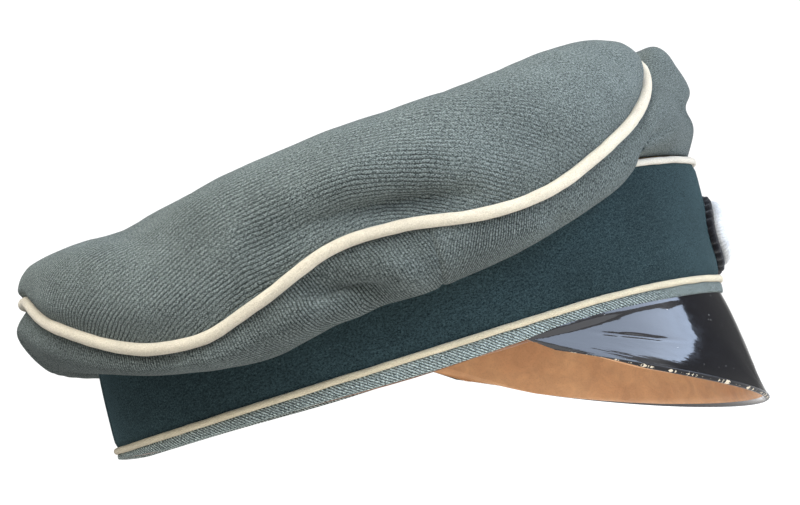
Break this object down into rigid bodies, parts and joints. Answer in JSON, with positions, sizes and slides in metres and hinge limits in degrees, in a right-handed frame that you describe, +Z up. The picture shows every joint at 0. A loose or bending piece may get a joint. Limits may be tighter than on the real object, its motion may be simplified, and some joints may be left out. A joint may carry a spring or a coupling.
{
  "type": "military peaked cap",
  "caption": "Soft-crowned peaked cap with a stiff piped band, steep lacquered peak, leather sweatband, inner lining and a plain oval front badge.",
  "frame": {"origin": "centre of the head opening, in the plane of the band's lower edge at the sides and rear", "axes": "+X forward to the peak, +Y to the wearer's left, +Z up to the crown"},
  "size_m": [0.2299, 0.2164, 0.1276],
  "materials": {
    "crown_wool": "ribbed grey-green wool, slightly fuzzy",
    "band_felt": "dark bottle-green felted wool",
    "piping_wool": "cream felted wool cord",
    "fibreboard": "plain fibreboard strip",
    "leather": "worn brown leather",
    "ribbon": "dark ribbed ribbon",
    "peak_lacquer": "glossy black lacquered fibre, chipped at its edge",
    "peak_leather": "tan leather, smooth",
    "lining_satin": "golden-brown satin",
    "celluloid": "clear yellowed celluloid",
    "wadding": "felted cotton wadding",
    "spring_steel": "spring steel strip",
    "badge_felt": "black felt",
    "badge_thread": "silver-white embroidery thread",
    "badge_metal": "satin aluminium"
  },
  "bodies": {
    "root": {"crown_top_panel": "crown_wool", "crown_front_panel_left": "crown_wool", "crown_front_panel_right": "crown_wool", "crown_rear_panel_left": "crown_wool", "crown_rear_panel_right": "crown_wool", "bottom_welt": "crown_wool", "crown_piping": "piping_wool", "band_upper_piping": "piping_wool", "band_lower_piping": "piping_wool", "band_cloth": "band_felt", "band_stiffener": "fibreboard", "sweatband": "leather", "sweatband_reed": "leather", "sweatband_bow": "ribbon", "peak_shell": "peak_lacquer", "peak_lining": "peak_leather", "crown_lining_side": "lining_satin", "crown_lining_top": "lining_satin", "sweat_shield": "celluloid", "front_wadding": "wadding", "front_stay": "spring_steel", "front_stay_cover": "lining_satin", "badge_backing": "badge_felt", "badge_ring": "badge_thread", "badge_boss": "badge_metal"}
  },
  "joints": []
}
